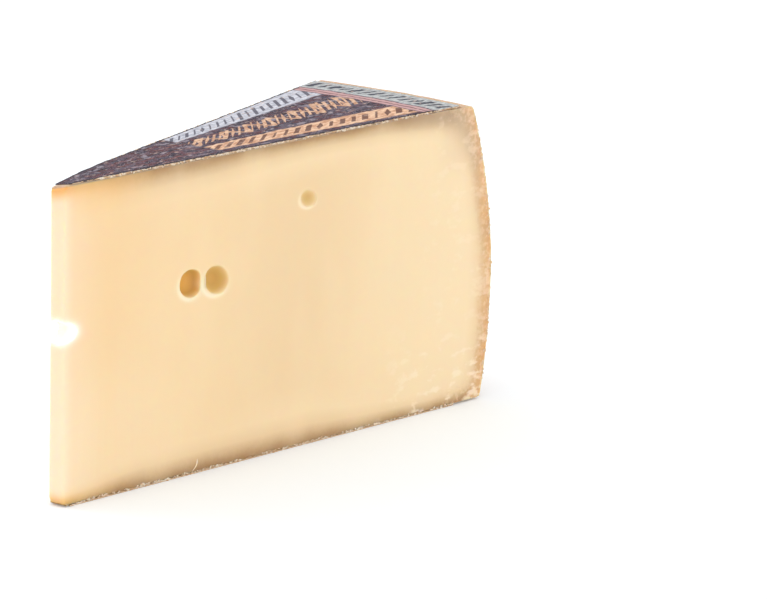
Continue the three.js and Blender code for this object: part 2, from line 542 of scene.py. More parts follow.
# %% The glow of the tip
GLOW_FALL = 2.2
x, y = cheese_points[:, 0], cheese_points[:, 1]
egg = ((x - TIP_RADIUS) / TIP_EYE_REACH) ** 2
egg = egg + (y / TIP_EYE_BREADTH) ** 2 + ((z - TIP_EYE_HEIGHT) / TIP_EYE_RISE) ** 2
tip_glow = np.exp(-GLOW_FALL * np.clip(egg - 1.0, 0, None))
tip_glow = tip_glow * (0.72 + 0.28 * np.clip((1.1 - y) / 1.3, 0, 1))
print(f"points that glow: {(tip_glow > 0.5).sum()}")

# %% Which points are cut, rind or inside a gas hole
normals = surface_normals(cheese_points, cheese_quads)
in_eye = cheese_hollow > 0.02
on_cut = np.clip((np.abs(normals[:, 1]) - 0.8) / 0.15, 0, 1) * (cheese_hollow < 0.02)
on_rind = np.clip(1 - rind_depth / 0.5, 0, 1)
near_rind = np.exp(-np.clip(rind_depth, 0, None) / 3.5)
resting = (np.abs(normals[:, 2]) > 0.9) & (radial < UPPER_RIM_RADIUS - RIM_ROUNDING - 2.4)
print("cut, rind, eye:", (on_cut > 0.5).sum(), (on_rind > 0.5).sum(), in_eye.sum())

# %% Move the points
DRAG, CRUMBLE, RUB, EYE_WALL = 0.01, 0.06, 0.3, 0.07
drag = smooth_noise(cheese_points, (0.9, 40, 30), 1) * 0.6
drag += smooth_noise(cheese_points, (2.6, 40, 60), 2) * 0.4
wave = smooth_noise(cheese_points, 22, 3) * 0.14 + smooth_noise(cheese_points, 7, 4) * 0.03
crumbly = smooth_noise(cheese_points, 1.3, 5) + 0.7 * smooth_noise(cheese_points, 0.75, 6)
relief = on_cut * (wave + DRAG * drag + CRUMBLE * crumbly * near_rind)
dents = smooth_noise(cheese_points, 11, 7) * 0.2 + smooth_noise(cheese_points, 4.2, 8) * 0.16
hoops = smooth_noise(cheese_points, (60, 60, 3.4), 12) * 0.12
pores = -0.3 * np.clip(smooth_noise(cheese_points, 1.9, 13) - 0.25, 0, 1)
relief = relief + on_rind * (1 - on_cut) * (dents + hoops + pores - RUB)
relief = relief + in_eye * smooth_noise(cheese_points, 1.6, 9) * EYE_WALL
relief = np.where(resting, 0, relief)
cheese_points = cheese_points + normals * relief[:, None]
box_low = np.array([cheese_low[0] - AXIS_X, cheese_low[1], 0.0])
box_high = np.array([cheese_high[0] - AXIS_X, cheese_high[1], label_high[2]])
cheese_points = np.clip(cheese_points, box_low, box_high)
print(f"relief from {relief.min():.2f} to {relief.max():.2f} mm")

# %% [markdown]
# ## Making a mesh
#
# Blender takes a mesh fastest as flat arrays. Distances become metres here, the wheel's axis
# moves to its place in the model, and each number kept with the points becomes an attribute
# that a material can read.


# %% Mesh from arrays
def make_piece(name, points, quads, **point_values):
    placed = (points + [AXIS_X, 0, 0]) * MM
    mesh = bpy.data.meshes.new(name)
    corners = [tuple(dict.fromkeys(q)) for q in quads.tolist()]
    mesh.from_pydata(placed.tolist(), [], [c for c in corners if len(c) > 2])
    for key, values in point_values.items():
        stored = mesh.attributes.new(key, "FLOAT", "POINT").data
        stored.foreach_set("value", values.astype(np.float32))
    mesh.shade_smooth()
    mesh.validate()
    piece = bpy.data.objects.new(name, mesh)
    bpy.context.collection.objects.link(piece)
    return piece


cheese = make_piece(
    "cheese",
    cheese_points,
    cheese_quads,
    rind_depth=rind_depth,
    ripe_depth=ripe_depth,
    hollow=cheese_hollow,
    lip=eye_lip_light,
    tip_glow=tip_glow,
    side_depth=depth_side,
)
print("cheese:", len(cheese.data.vertices), "points", len(cheese.data.polygons), "faces")
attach(cheese, "root")
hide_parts("cheese_wedge")

# %% [markdown]
# ## The papers
#
# A sheet of thin printed paper is glued to each flat face of the round before it is cut, so
# the cuts trim it too. The wire pulls at it and leaves a ragged edge. Each paper is a closed
# sheet, an upper and a lower grid with a wall round them. Its grid runs out from the tip and
# across from cut to cut, and small creases lift the upper side.


# %% Creases in paper
def creases(points, seed):
    """Sharp ridges: one less the size of smooth noise, squared twice. Two sets lie at a slant
    to each other, as paper buckles when damp cheese shrinks under it."""
    x, y = points[..., 0], points[..., 1]
    total = 0.0
    for turn, long, short, share in ((0.5, 9.0, 1.8, 0.6), (-0.9, 6.0, 1.5, 0.4)):
        turned = [x * math.cos(turn) - y * math.sin(turn), x * math.sin(turn) + y * math.cos(turn)]
        place = np.stack([turned[0] / long, turned[1] / short, 0 * x], -1)
        total = total + share * (1 - np.abs(smooth_noise(place, 1.0, seed))) ** 4
        seed += 1
    return total


# %% One paper as a closed sheet
LABEL_START = label_low[0] - AXIS_X
LABEL_END = label_high[0] - AXIS_X
LABEL_THICKNESS = label_high[2] - label_low[2]
SHEET_ROWS, SHEET_COLUMNS = 330, 61
print(f"paper from {LABEL_START:.1f} to {LABEL_END:.1f} mm out, {LABEL_THICKNESS:.2f} mm thick")


def ragged_inset(out, seed, least, most):
    """How far the paper's edge stays back from the cut at a distance out: slow waves, and on
    them the fine teeth of a tear."""
    place = np.stack([out, 0 * out, 0 * out], -1)
    slow = smooth_noise(place, 7.0, seed) * 0.5 + 0.5
    teeth = np.abs(smooth_noise(place, 0.9, seed + 1))
    return least + (most - least) * (0.55 * slow + 0.45 * teeth)


def paper_sheet(low, high, near_inset, far_inset):
    """The grid of places, and the six sides that close it. low and high give the height of
    each side of the paper at a place and its share of the way across."""
    out = np.linspace(LABEL_START, LABEL_END, SHEET_ROWS)
    share = np.linspace(-1, 1, SHEET_COLUMNS)
    teeth = ragged_inset(share * 30, 41, 0.0, 0.5)
    out_grid = out[:, None] * np.ones_like(share)
    out_grid = out_grid - teeth * np.linspace(0, 1, len(out))[:, None] ** 8
    near = -HALF_ANGLE + near_inset(out) / out
    far = HALF_ANGLE - far_inset(out) / out
    angle = near[:, None] + (far - near)[:, None] * (share + 1) / 2
    plan = np.stack([out_grid * np.cos(angle), out_grid * np.sin(angle), 0 * angle], -1)
    upper = plan + np.stack([0 * angle, 0 * angle, high(plan, out_grid, angle / HALF_ANGLE)], -1)
    lower = plan + np.stack([0 * angle, 0 * angle, low(plan, out_grid, angle / HALF_ANGLE)], -1)
    rows, columns = angle.shape
    flat_quads = grid_quads(rows, columns)
    sides = [patch(upper, flat_quads), patch(lower, flat_quads, flip=True)]
    edges = [(0, slice(None), False), (-1, slice(None), True)]
    edges += [(slice(None), 0, True), (slice(None), -1, False)]
    for i, j, flip in edges:
        wall = np.stack([lower[i, j], upper[i, j]])
        sides.append(patch(wall, grid_quads(*wall.shape[:2]), flip=flip))
    return joined(sides)


# %% The paper on top
PAPER = 0.1  # real thickness of the paper
GLUE_GAP = 0.02


def top_low(plan, out, share):
    return TOP + GLUE_GAP - top_sag(out, share)


def top_high(plan, out, share):
    lift = (LABEL_THICKNESS - PAPER - 2 * GLUE_GAP) * creases(plan, 21)
    return top_low(plan, out, share) + PAPER + lift


points, quads, _ = paper_sheet(
    top_low,
    top_high,
    lambda out: ragged_inset(out, 31, 0.08, 0.5),
    lambda out: ragged_inset(out, 33, -0.06, 0.1),
)
top_paper = make_piece("top_paper", points, quads)
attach(top_paper, "root")
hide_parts("top_label")
print("top paper:", len(top_paper.data.polygons), "faces")

# %% The paper under the base
# It carries the weight, so its lower side is flat and it bulges only a little at the edges.


def base_low(plan, out, share):
    return 0 * out


def base_high(plan, out, share):
    return BASE - GLUE_GAP - 0.08 * np.abs(smooth_noise(plan, 1.4, 51)) * (np.abs(share) > 0.98)


points, quads, _ = paper_sheet(
    base_low,
    base_high,
    lambda out: ragged_inset(out, 61, -0.05, 0.2),
    lambda out: ragged_inset(out, 63, -0.05, 0.2),
)
base_paper = make_piece("base_paper", points, quads)
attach(base_paper, "root")
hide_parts("bottom_label")
print("base paper:", len(base_paper.data.polygons), "faces")

# %% [markdown]
# ## Torn fibres and crumbs
#
# Where the wire tears the paper, soft pale fibres stand along the edge, and where it breaks
# the dry rind, crumbs stay. Each is a small closed pebble with a few dozen faces, pressed
# and turned in its own way. All of them are worked out at once, as one array.


# %% Many small pebbles as one array
BALL_RINGS, BALL_SIDES = 6, 8  # the last side lies on the first


def pebbles(centres, axes, sizes, seed):
    """A ball of five rings and seven sides for each centre. Its own three axes stretch it by
    its sizes, and smooth bumps of the direction make no two alike."""
    rings = np.linspace(0, np.pi, BALL_RINGS)
    around = np.linspace(0, 2 * np.pi, BALL_SIDES)
    ball = np.stack(
        [
            np.sin(rings)[:, None] * np.cos(around),
            np.sin(rings)[:, None] * np.sin(around),
            np.cos(rings)[:, None] * np.ones_like(around),
        ],
        -1,
    )
    ball[:, -1] = ball[:, 0]
    ball[[0, -1]] = ball[[0, -1], :1]
    bumps = smooth_noise(ball[None] + 7.3 * np.arange(len(centres))[:, None, None, None], 0.8, seed)
    local = ball * sizes[:, None, None, :] * (1 + 0.45 * bumps[..., None])
    points = centres[:, None, None, :] + np.einsum("nrak,nkc->nrac", local, axes)
    starts = np.arange(len(centres))[:, None] * BALL_RINGS * BALL_SIDES
    corner = starts + grid_quads(BALL_RINGS, BALL_SIDES).reshape(1, -1)
    return patch(points, corner.reshape(-1, 4), flip=True)


# %% Which way the cut's edge runs
def edge_frame(side):
    """Out along the cut, square out of the cut, and up."""
    cos, sin = math.cos(HALF_ANGLE), math.sin(HALF_ANGLE)
    return np.array([[cos, side * sin, 0], [-sin, side * cos, 0], [0, 0, 1.0]])


def turned_frames(frame, count, swing, random):
    """The edge's frame, turned for each pebble by a random angle about the cut's normal."""
    angle = random.normal(0, swing, count)
    cos, sin, zero, one = np.cos(angle), np.sin(angle), 0 * angle, 0 * angle + 1
    turn = np.stack([cos, zero, sin, zero, one, zero, -sin, zero, cos], -1).reshape(-1, 3, 3)
    return turn @ frame


print("out along the near cut:", edge_frame(-1)[0])


# %% Pebbles along an edge
def edge_pebbles(side, count, span, height, reach, size, seed, along_edge):
    """Pebbles along one edge. They crowd where slow noise is high, so they come in clumps."""
    random = np.random.default_rng(seed)
    out = random.uniform(*span, count * 3)
    place = np.stack([out, 0 * out, 0 * out], -1)
    crowd = smooth_noise(place, 6.0, seed + 1) * 0.6 + smooth_noise(place, 1.7, seed + 2) * 0.5
    out = out[crowd > random.uniform(-0.9, 0.9, len(out))][:count]
    count = len(out)
    frame = edge_frame(side)
    level = random.uniform(*height, count)
    proud = random.uniform(*reach, count)
    sizes = np.exp(random.normal(0, 0.4, (count, 3))) * size
    centres = along_edge(out, level)[..., None] * frame[0]
    centres = centres + proud[:, None] * frame[1]
    centres[:, 2] = np.where(level > RISE / 2, level - top_sag(out, side), level)
    return pebbles(centres, turned_frames(frame, count, 0.45, random), sizes, seed + 3)


# %% Torn paper fibres
def at_out(out, level):
    return out


FIBRE = np.array([0.34, 0.13, 0.14])
fibres = [
    edge_pebbles(-1, 420, (24, 150), (TOP - 0.12, TOP + 0.14), (-0.3, 0.02), FIBRE, 101, at_out),
    edge_pebbles(1, 300, (40, 150), (TOP - 0.12, TOP + 0.12), (-0.25, 0.04), FIBRE, 111, at_out),
    edge_pebbles(-1, 460, (17, 150), (0.22, 0.75), (-0.12, 0.12), FIBRE, 121, at_out),
    edge_pebbles(1, 340, (17, 150), (0.22, 0.7), (-0.12, 0.1), FIBRE, 131, at_out),
]
points, quads, _ = joined(fibres)
torn_fibres = make_piece("torn_fibres", np.clip(points, box_low, box_high), quads)
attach(torn_fibres, "root")
print("torn fibres:", len(torn_fibres.data.polygons), "faces")

# %% Crumbs of rind
CRUMB = np.array([0.2, 0.1, 0.3])


def at_rind(out, level):
    """Back from the wheel's side at that height, by the small distance that out holds."""
    return side_radius(level) - out


crumbs = []
for side in (-1, 1):
    crumbs.append(
        edge_pebbles(side, 150, (0.2, 1.0), (3, 76), (-0.12, -0.04), CRUMB, 141 + side, at_rind)
    )
points, quads, _ = joined(crumbs)
rind_crumbs = make_piece("rind_crumbs", np.clip(points, box_low, box_high), quads)
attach(rind_crumbs, "root")
print("rind crumbs:", len(rind_crumbs.data.polygons), "faces")

# %% [markdown]
# The wire also left one thin curl of cheese, standing from the lower edge of the near cut.
# It is a flat oval carried along a short curve, and it narrows to a point at both ends.

# %% The curl
CURL_OUT, CURL_FOOT, CURL_RISE = 56.6, 0.7, 3.2
CURL_WIDTH, CURL_THICKNESS = 0.17, 0.07
CURL_RINGS, CURL_SIDES = 25, 13
t = np.linspace(0, 1, CURL_RINGS)[:, None]
turn = np.linspace(0, 2 * np.pi, CURL_SIDES)[None, :]
turn[0, -1] = 0
frame_near = edge_frame(-1)
spine = (
    (CURL_OUT + 1.5 * t**0.7)[..., None] * frame_near[0]
    + (0.1 + 0.75 * np.sin(np.pi * t * 0.8))[..., None] * frame_near[1]
    + (CURL_FOOT + CURL_RISE * t)[..., None] * frame_near[2]
)
taper = np.sin(np.pi * t) ** 0.6
width = CURL_WIDTH * taper * np.cos(turn)
thickness = CURL_THICKNESS * taper * np.sin(turn)
curl_points = spine + width[..., None] * frame_near[0] + thickness[..., None] * frame_near[1]
points, quads, _ = joined([patch(curl_points, grid_quads(CURL_RINGS, CURL_SIDES))])
cut_curl = make_piece("cut_curl", points, quads)
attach(cut_curl, "root")
print("curl:", len(cut_curl.data.polygons), "faces")

# %% [markdown]
# ## A shorthand for node trees
#
# Materials are node trees. This small class makes a node in one line: its name, what feeds
# its sockets, and its settings. A socket fed with another socket is linked, and one fed with
# a number keeps it.


# %% The shorthand
class Nodes:
    def __init__(self, tree):
        self.tree = tree

    def add(self, kind, feeds=None, **settings):
        node = self.tree.nodes.new("ShaderNode" + kind)
        for key, value in settings.items():
            setattr(node, key, value)
        for key, value in (feeds or {}).items():
            self.feed(node.inputs[key], value)
        return node

    def feed(self, socket, value):
        if isinstance(value, bpy.types.NodeSocket):
            self.tree.links.new(value, socket)
        else:
            socket.default_value = value

    def group(self, tree, **feeds):
        node = self.tree.nodes.new("ShaderNodeGroup")
        node.node_tree = tree
        for key, value in feeds.items():
            self.feed(node.inputs[key], value)
        return node.outputs

    def report(self, made):
        print(f"{made}: {len(self.tree.nodes)} nodes so far")

    def math(self, operation, *values):
        feeds = dict(enumerate(values))
        return self.add("Math", feeds, operation=operation).outputs[0]

    def times(self, first, *others):
        """All of them multiplied together."""
        for other in others:
            first = self.math("MULTIPLY", first, other)
        return first

    def times_plus(self, value, factor, added):
        return self.math("MULTIPLY_ADD", value, factor, added)

    def smooth(self, value, low, high):
        """0 up to low, 1 from high on, and an S-shaped rise between; low may be the larger."""
        feeds = {"Value": value, "From Min": low, "From Max": high}
        if not isinstance(low, bpy.types.NodeSocket) and low > high:
            feeds |= {"From Min": high, "From Max": low, "To Min": 1.0, "To Max": 0.0}
        return self.add("MapRange", feeds, interpolation_type="SMOOTHSTEP").outputs["Result"]

    def between(self, value, low, high, soft):
        """1 from low to high, fading to 0 over soft on each side."""
        rise = self.smooth(value, low - soft, low + soft)
        fall = self.smooth(value, high - soft, high + soft)
        return self.math("SUBTRACT", rise, fall)

    def centred(self, value, middle, half):
        """How far a value is from the middle of a band, where 1 is the band's edge."""
        return self.times_plus(value, 1 / half, -middle / half)

    def noise(self, vector, scale, detail=2.0, rough=0.5):
        feeds = {"Vector": vector, "Scale": scale, "Detail": detail, "Roughness": rough}
        return self.add("TexNoise", feeds).outputs["Fac"]

    def chance(self, number):
        """A number from 0 to 1 that looks random and is always the same for the same input."""
        return self.add("TexWhiteNoise", {"W": number}, noise_dimensions="1D").outputs["Value"]

    def stretch(self, vector, scales, turn=0.0):
        """The vector turned about z, then its three parts scaled on their own."""
        feeds = {"Vector": vector, "Rotation": (0, 0, turn), "Scale": scales}
        return self.add("Mapping", feeds).outputs["Vector"]

    def mix(self, factor, first, second):
        feeds = {0: factor, 6: first, 7: second}
        return self.add("Mix", feeds, data_type="RGBA").outputs[2]

    def lay(self, under, colour, *masks):
        """A colour laid over another, as strongly as all the masks multiplied together say."""
        return self.mix(self.times(*masks), under, colour)

    def ramp(self, factor, tones, span=1.0):
        """A paint-chart colour for each place from 0 to span, blended in between."""
        node = self.add("ValToRGB", {"Fac": factor})
        elements = node.color_ramp.elements
        while len(elements) < len(tones):
            elements.new(1.0)
        for element, (place, colour) in zip(elements, tones.items()):
            element.position, element.color = place / span, tone(*colour)
        return node.outputs["Color"]


def tone(red, green, blue):
    """A colour as a paint chart gives it, 0 to 255, in the linear numbers that light uses."""
    part = np.array([red, green, blue]) / 255
    linear = np.where(part <= 0.04045, part / 12.92, ((part + 0.055) / 1.055) ** 2.4)
    return (*linear.tolist(), 1.0)


print("a middle grey in linear numbers:", tone(128, 128, 128))


# %% Empty groups and materials
def new_group(name, inputs, outputs):
    """An empty group with float or vector sockets: its tree, a shorthand for it, what it is
    given and what it has to give."""
    tree = bpy.data.node_groups.new(name, "ShaderNodeTree")
    for key, value in inputs.items():
        kind = "NodeSocketVector" if isinstance(value, tuple) else "NodeSocketFloat"
        socket = tree.interface.new_socket(key, in_out="INPUT", socket_type=kind)
        socket.default_value = value
    for key in outputs:
        tree.interface.new_socket(key, in_out="OUTPUT", socket_type="NodeSocketFloat")
    taken, given = tree.nodes.new("NodeGroupInput"), tree.nodes.new("NodeGroupOutput")
    return tree, Nodes(tree), taken.outputs, given.inputs


def new_material(name):
    material = bpy.data.materials.new(name)
    material.use_nodes = True
    shader = material.node_tree.nodes["Principled BSDF"]
    return material, Nodes(material.node_tree), shader.inputs


def place_in_mm(n):
    """Where a point is on its own piece, in millimetres."""
    place = n.add("TexCoord").outputs["Object"]
    return n.add("VectorMath", {0: place, "Scale": 1 / MM}, operation="SCALE").outputs[0]


# %% [markdown]
# ## Shared effects
#
# Two groups serve every material here. The first says where a point is in the round: how
# far out from its axis and which share of the way from the middle to a cut. The second is a
# mottle: patches of a chosen size, soft or hard at their edges, from 0 to 1.

# %% Place in the round
inputs = {"Vector": (0.0, 0.0, 0.0)}
round_place, n, taken, given = new_group("round_place", inputs, ["Out", "Share"])
parts = n.add("SeparateXYZ", {"Vector": taken["Vector"]}).outputs
from_axis = n.math("SUBTRACT", parts["X"], float(AXIS_X))
squares = [n.times(value, value) for value in (from_axis, parts["Y"])]
n.feed(given["Out"], n.math("SQRT", n.math("ADD", *squares)))
angle = n.math("ARCTAN2", parts["Y"], from_axis)
n.feed(given["Share"], n.math("DIVIDE", angle, HALF_ANGLE))
n.report("place in the round")

# %% Mottle
inputs = {"Vector": (0.0, 0.0, 0.0), "Size": 1.0, "Amount": 0.5, "Edge": 0.1}
mottle, n, taken, given = new_group("mottle", inputs, ["Mask"])
field = n.noise(taken["Vector"], n.math("DIVIDE", 1.0, taken["Size"]), 3.0, 0.55)
level = n.math("SUBTRACT", 1.0, taken["Amount"])
low, high = n.math("SUBTRACT", level, taken["Edge"]), n.math("ADD", level, taken["Edge"])
n.feed(given["Mask"], n.smooth(field, low, high))
n.report("mottle")


def mottled(n, vector, size, amount, edge):
    """The mottle's mask: patches of that size in millimetres, over that share of the area."""
    return n.group(mottle, Vector=vector, Size=size, Amount=amount, Edge=edge)["Mask"]


# %% [markdown]
# ## Cheese
#
# One material covers the paste and the rind, because they are one body. Depth under the
# rind picks the colour: tan at the edge, then straw, then ivory. Light sinks into paste and
# comes out near by, red furthest, which is what makes it look edible, so the shader
# scatters below the surface by a few millimetres. On top of that lie the faint streaks
# of the wire, the painted shade and gold in the gas holes, painted light on their lips and
# in the thin tip, dry flecks near the rind, and the rind's own skin.

# %% Where things are on the cheese
cheese_material, n, shader = new_material("cheese")
place_mm = place_in_mm(n)
out = n.group(round_place, Vector=place_mm)["Out"]
level = n.add("SeparateXYZ", {"Vector": place_mm}).outputs["Z"]


def kept(name):
    """A number that was stored with the mesh's points."""
    return n.add("Attribute", attribute_name=name).outputs["Fac"]


depth, ripe, side_depth = kept("rind_depth"), kept("ripe_depth"), kept("side_depth")
hollow, lip, glow = kept("hollow"), kept("lip"), kept("tip_glow")
n.report("places")

# %% [markdown]
# The border between ripe and young paste isn't a ruled line. Slow and fine noise push it to
# and fro by about a millimetre, more towards the rind, where the paste is crumbly.

# %% A wandering border
blur = n.noise(place_mm, 0.1, 2.0)
grit = n.noise(place_mm, 0.9, 3.0, 0.6)
warp = n.math("ADD", n.times_plus(blur, 1.6, -0.8), n.times_plus(grit, 0.8, -0.4))
warp = n.times(warp, n.times_plus(n.smooth(out, 138.0, 154.0), 1.3, 1.0))
warped = n.times_plus(warp, n.smooth(ripe, 9.0, 1.0), ripe)
n.report("border")

# %% [markdown]
# A ramp turns depth into colour, which keeps the whole change from crust to heart in one
# short list. Near the tip the paste is thinner and younger, so a second ramp is blended in
# there.

# %% Paste from the rind to the heart
# Each colour is the paste's at that depth in millimetres. The tip is thin and young, so it
# has colours of its own, and they reach further out high up than low down.
DEPTH_SPAN = 16.0
RIPE_TONES = {
    0.0: (166, 125, 84),
    1.6: (189, 152, 111),
    3.2: (213, 181, 139),
    5.2: (233, 205, 163),
    9.0: (243, 217, 176),
    16.0: (242, 216, 173),
}
TIP_TONES = {
    0.0: (228, 168, 100),
    2.5: (240, 188, 118),
    6.0: (244, 203, 143),
    12.0: (244, 213, 165),
}
share_of_depth = n.math("DIVIDE", warped, DEPTH_SPAN)
aged = n.ramp(share_of_depth, RIPE_TONES, DEPTH_SPAN)
young = n.ramp(share_of_depth, TIP_TONES, DEPTH_SPAN)
outward = n.times_plus(n.smooth(level, 60.0, 20.0), 12.0, out)
paste = n.mix(n.smooth(outward, 18.0, 50.0), young, aged)
n.report("paste")

# %% [markdown]
# Broad, faint tints make the paste less even, as in a real cut: the upper zone turns grey
# towards the rind, the heart is warmer near the tip and paler low down, and it is a little
# duller half way along.

# %% Broad tints
GREYED = tone(186, 162, 138)
WARM_HEART = tone(243, 208, 158)
PALE_FOOT = tone(246, 222, 184)
DULL_MIDDLE = tone(230, 198, 154)
upper_zone = n.times(n.smooth(out, 110.0, 154.0), n.smooth(level, 40.0, 66.0))
paste = n.lay(paste, GREYED, upper_zone, n.smooth(warped, 7.0, 1.5), 0.8)
paste = n.lay(paste, WARM_HEART, n.smooth(out, 95.0, 30.0), n.smooth(ripe, 4.0, 12.0), 0.6)
low_tip = n.times(n.smooth(out, 78.0, 30.0), n.smooth(level, 44.0, 14.0))
paste = n.lay(paste, PALE_FOOT, low_tip, n.smooth(ripe, 3.0, 9.0), 0.45)
middle = n.between(out, 74.0, 114.0, 20.0)
paste = n.lay(paste, DULL_MIDDLE, middle, n.smooth(ripe, 8.0, 18.0), 0.4)
n.report("broad tints")

# %% [markdown]
# Under the side's rind lies a band of firmer, peach-brown paste. A mottle breaks it up,
# because a band of even width would look painted on. The corner at the upper rim is
# greyer, where two dry zones meet.

# %% The band under the side's rind
BAND = tone(230, 186, 130)
PEACH = tone(222, 170, 112)
BAND_CORNER = tone(184, 150, 120)
peach = mottled(n, n.stretch(place_mm, (1, 1, 0.6)), 5.0, 0.6, 0.14)
in_band = n.smooth(n.times_plus(warp, 1.6, side_depth), 6.5, 0.8)
paste = n.lay(paste, BAND, in_band, 0.4)
paste = n.lay(paste, PEACH, in_band, peach, 0.7)
upper_corner = n.times(n.smooth(out, 138.0, 151.0), n.smooth(level, 58.0, 70.0))
paste = n.lay(paste, BAND_CORNER, upper_corner, 0.5)
n.report("band")

# %% [markdown]
# The wire drags the paste as it passes and leaves faint upright streaks, and the paste
# itself is a little cloudy. Noise that is stretched along one axis gives such streaks.
# Modelled grooves this fine would need millions of faces.

# %% Streaks and clouds
STREAK = tone(244, 208, 160)
CLOUD = tone(250, 224, 184)
PALE_OUTER = tone(248, 224, 186)
streaks = n.noise(n.stretch(place_mm, (1.0, 1.0, 0.035)), 0.75, 4.0, 0.6)
clouds = n.noise(n.stretch(place_mm, (1.0, 1.0, 0.45)), 0.055, 2.0)
paste = n.lay(paste, STREAK, n.smooth(streaks, 0.35, 0.75), n.smooth(ripe, 1.5, 9.0), 0.16)
paste = n.lay(paste, CLOUD, n.smooth(clouds, 0.4, 0.7), 0.25)
paste = n.lay(paste, PALE_OUTER, n.smooth(out, 95.0, 150.0), n.smooth(ripe, 3.0, 9.0), 0.5)
n.report("streaks and clouds")

# %% [markdown]
# Near the rind the paste is dry, and breaks into crumbs where it should cut clean. Small
# pale and dark patches stand for the finest ones, and larger pale smudges for crumbs that
# were dragged across the face, most of all at the lower corner. The largest crumbs are
# pieces of their own, made above.

# %% Dry flecks near the rind, pale smudges where crumbs broke away
DARK_SPECK = tone(198, 152, 104)
PALE_FLECK = tone(248, 222, 188)
SMUDGE = tone(253, 231, 202)
fleck_zone = n.times(n.smooth(depth, 7.0, 0.6), n.smooth(out, 140.0, 154.0))
outer_zone = n.times(n.smooth(out, 128.0, 150.0), 0.3)
scuffed_corner = n.times(n.smooth(out, 116.0, 140.0), n.smooth(level, 30.0, 9.0), 0.75)
smudge_zone = n.math("MAXIMUM", outer_zone, scuffed_corner)
flecks = mottled(n, place_mm, 1.3, 0.45, 0.06)
specks = mottled(n, n.stretch(place_mm, (1, 1, 0.7)), 1.0, 0.42, 0.06)
smudges = mottled(n, n.stretch(place_mm, (1, 1, 1.7)), 5.5, 0.4, 0.06)
paste = n.lay(paste, DARK_SPECK, specks, fleck_zone, 0.3)
paste = n.lay(paste, PALE_FLECK, flecks, fleck_zone, 0.36)
paste = n.lay(paste, SMUDGE, smudges, smudge_zone)
n.report("flecks and smudges")

# %% [markdown]
# Inside a gas hole the colour is painted golden and darker with depth, and lighter again at
# the bottom: painted shade in the hollow, and painted light that has crossed the paste twice
# and lost its blue. The stored number says how deep in the hole a point lies, and picks the tone.

# %% Gas holes
# painted shade and light inside the eyes, picked by depth in the hole
EYE_LIGHT_AND_SHADE_TONES = {
    0.08: (236, 206, 150),
    0.25: (225, 187, 120),
    0.42: (219, 177, 96),
    0.6: (215, 167, 89),
    0.95: (240, 188, 96),
}
PAINTED_LIP_LIGHT = tone(255, 238, 210)
paste = n.lay(paste, n.ramp(hollow, EYE_LIGHT_AND_SHADE_TONES), n.smooth(hollow, 0.01, 0.12))
# painted highlight: a pale crescent on the lip of each eye, for light through its thin edge
paste = n.lay(paste, PAINTED_LIP_LIGHT, lip, 0.75)
n.report("gas holes")

# %% [markdown]
# The tip is only a few millimetres thick, so light from behind comes through it.
# Scattering alone gives too little of that glow, so the colour is paled there and the wall
# of the bubble gives off a little light of its own.

# %% The thin tip, where light comes through
PALE_TIP = tone(244, 230, 204)
WHITE_SPOT = tone(255, 252, 246)
SPOT_LIGHT = tone(84, 94, 102)
tip_edge = n.times(n.smooth(out, 18.0, 14.4), 0.35)
pale_tip = n.times_plus(n.smooth(out, 30.0, 13.0), 0.4, tip_edge)
paste = n.lay(paste, PALE_TIP, pale_tip, n.smooth(depth, 0.6, 4.5))
paste = n.lay(paste, WHITE_SPOT, glow)
n.feed(shader["Emission Color"], n.mix(glow, tone(0, 0, 0), SPOT_LIGHT))
shader["Emission Strength"].default_value = 1.0
n.report("tip")

# %% [markdown]
# The rind's skin is a dried and brushed crust. Slow, middling and fine noise and the level
# marks of the hoop pick its tan, small pits are dark, and a dry bloom lies in patches. The
# upper part is greyer, where hands and boards rub it.

# %% The rind's own skin
SKIN_TONES = {
    0.2: (132, 88, 52),
    0.34: (166, 116, 72),
    0.46: (192, 142, 92),
    0.6: (208, 164, 114),
    0.8: (224, 190, 148),
}
PIT = tone(112, 74, 46)
BLOOM = tone(226, 206, 182)
RUBBED_RIM = tone(200, 172, 148)
coarse = n.noise(place_mm, 0.045, 2.0)
medium = n.noise(place_mm, 0.26, 7.0, 0.62)
fine = n.noise(place_mm, 1.5, 4.0, 0.7)
hoop_marks = n.noise(n.stretch(place_mm, (0.05, 0.05, 1.0)), 0.3, 3.0)
tint = n.times_plus(coarse, 0.45, n.times_plus(medium, 0.75, -0.26))
skin = n.ramp(n.times_plus(hoop_marks, 0.3, tint), SKIN_TONES)
skin = n.lay(skin, PIT, n.smooth(fine, 0.42, 0.3), 0.65)
bloom = mottled(n, place_mm, 7.0, 0.42, 0.1)
skin = n.lay(skin, BLOOM, bloom, n.smooth(fine, 0.4, 0.62), 0.6)
skin = n.lay(skin, RUBBED_RIM, n.smooth(level, 58.0, 77.0), 0.7)
on_skin = n.smooth(depth, 0.55, 0.12)
n.feed(shader["Base Color"], n.mix(on_skin, paste, skin))
n.report("skin")

# %% [markdown]
# A round is pressed in a cloth, and its threads leave a print in the rind. Two sets of
# waves that cross, one for each way of the threads, are added together for it.

# %% Print of the mould's cloth in the rind
cloth_wave = {"Scale": 0.28, "Distortion": 1.2}
cloth_space = n.stretch(place_mm, (0.4, 1.0, 1.0))
warp_threads = n.add("TexWave", {"Vector": place_mm} | cloth_wave, bands_direction="Z")
weft_threads = n.add("TexWave", {"Vector": cloth_space} | cloth_wave, bands_direction="Y")
threads = n.math("ADD", warp_threads.outputs["Fac"], weft_threads.outputs["Fac"])
weave = n.times(threads, on_skin)
n.report("cloth print")

# %% [markdown]
# Fresh paste is waxy and smooth, and it gets duller towards the rind. The bump takes its
# height from the same noises as the colour, so that a dark pit is a hollow too. The bump
# stays small, because the large relief is already in the mesh.

